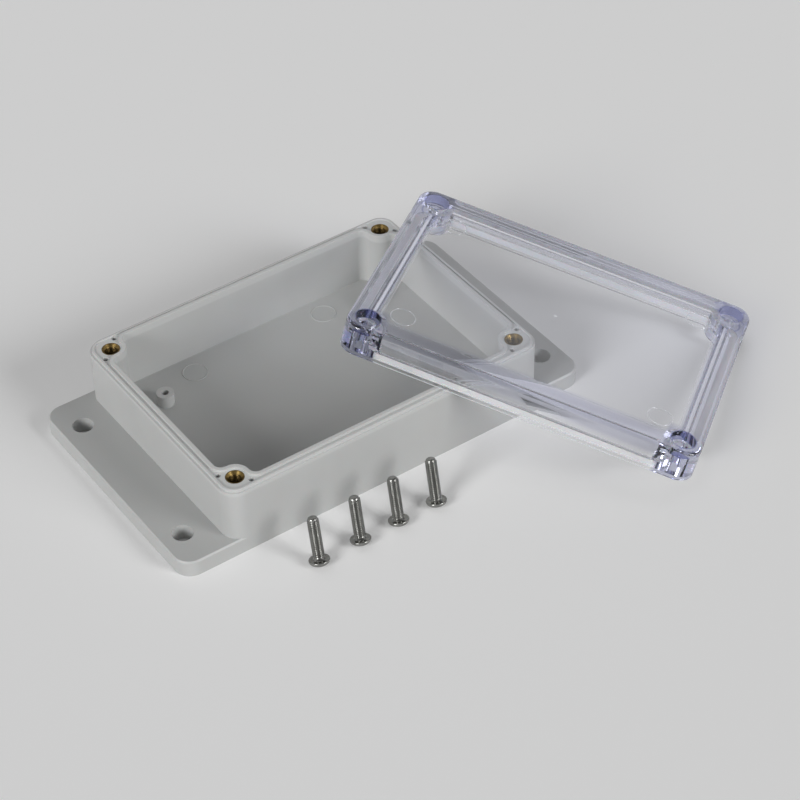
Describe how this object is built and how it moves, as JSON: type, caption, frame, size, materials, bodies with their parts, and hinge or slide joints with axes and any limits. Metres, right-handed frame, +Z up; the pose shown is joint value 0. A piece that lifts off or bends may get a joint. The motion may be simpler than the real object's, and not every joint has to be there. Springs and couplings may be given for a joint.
{
  "type": "junction box",
  "caption": "Rectangular wall-flanged plastic junction box, open, with its clear gasketed lid leaning on the rim and its cover screws standing beside it.",
  "frame": {"origin": "centre of the base's underside", "axes": "+X along the length towards the right wall flange, +Y towards the far long wall, +Z up out of the open mouth"},
  "size_m": [0.2192, 0.1556, 0.0463],
  "materials": {
    "base_plastic": "moulded ABS, satin",
    "brass": "turned and threaded",
    "clear_plastic": "clear polycarbonate",
    "silicone": "white silicone",
    "steel": "bright stainless"
  },
  "bodies": {
    "box": {"base": "base_plastic", "insert_near_left": "brass", "insert_near_right": "brass", "insert_far_left": "brass", "insert_far_right": "brass"},
    "cover": {"lid": "clear_plastic", "lid_gasket": "silicone"},
    "screw_1": {"cover_screw_1": "steel"},
    "screw_2": {"cover_screw_2": "steel"},
    "screw_3": {"cover_screw_3": "steel"},
    "screw_4": {"cover_screw_4": "steel"}
  },
  "joints": [
    {"name": "lid_lift", "type": "slide", "parent": "box", "child": "cover", "axis": [0, 0, 1], "range_m": [0, 0.06]},
    {"name": "screw_1_lift", "type": "slide", "parent": "box", "child": "screw_1", "axis": [0, 0, 1], "range_m": [0, 0.04]},
    {"name": "screw_2_lift", "type": "slide", "parent": "box", "child": "screw_2", "axis": [0, 0, 1], "range_m": [0, 0.04]},
    {"name": "screw_3_lift", "type": "slide", "parent": "box", "child": "screw_3", "axis": [0, 0, 1], "range_m": [0, 0.04]},
    {"name": "screw_4_lift", "type": "slide", "parent": "box", "child": "screw_4", "axis": [0, 0, 1], "range_m": [0, 0.04]}
  ]
}
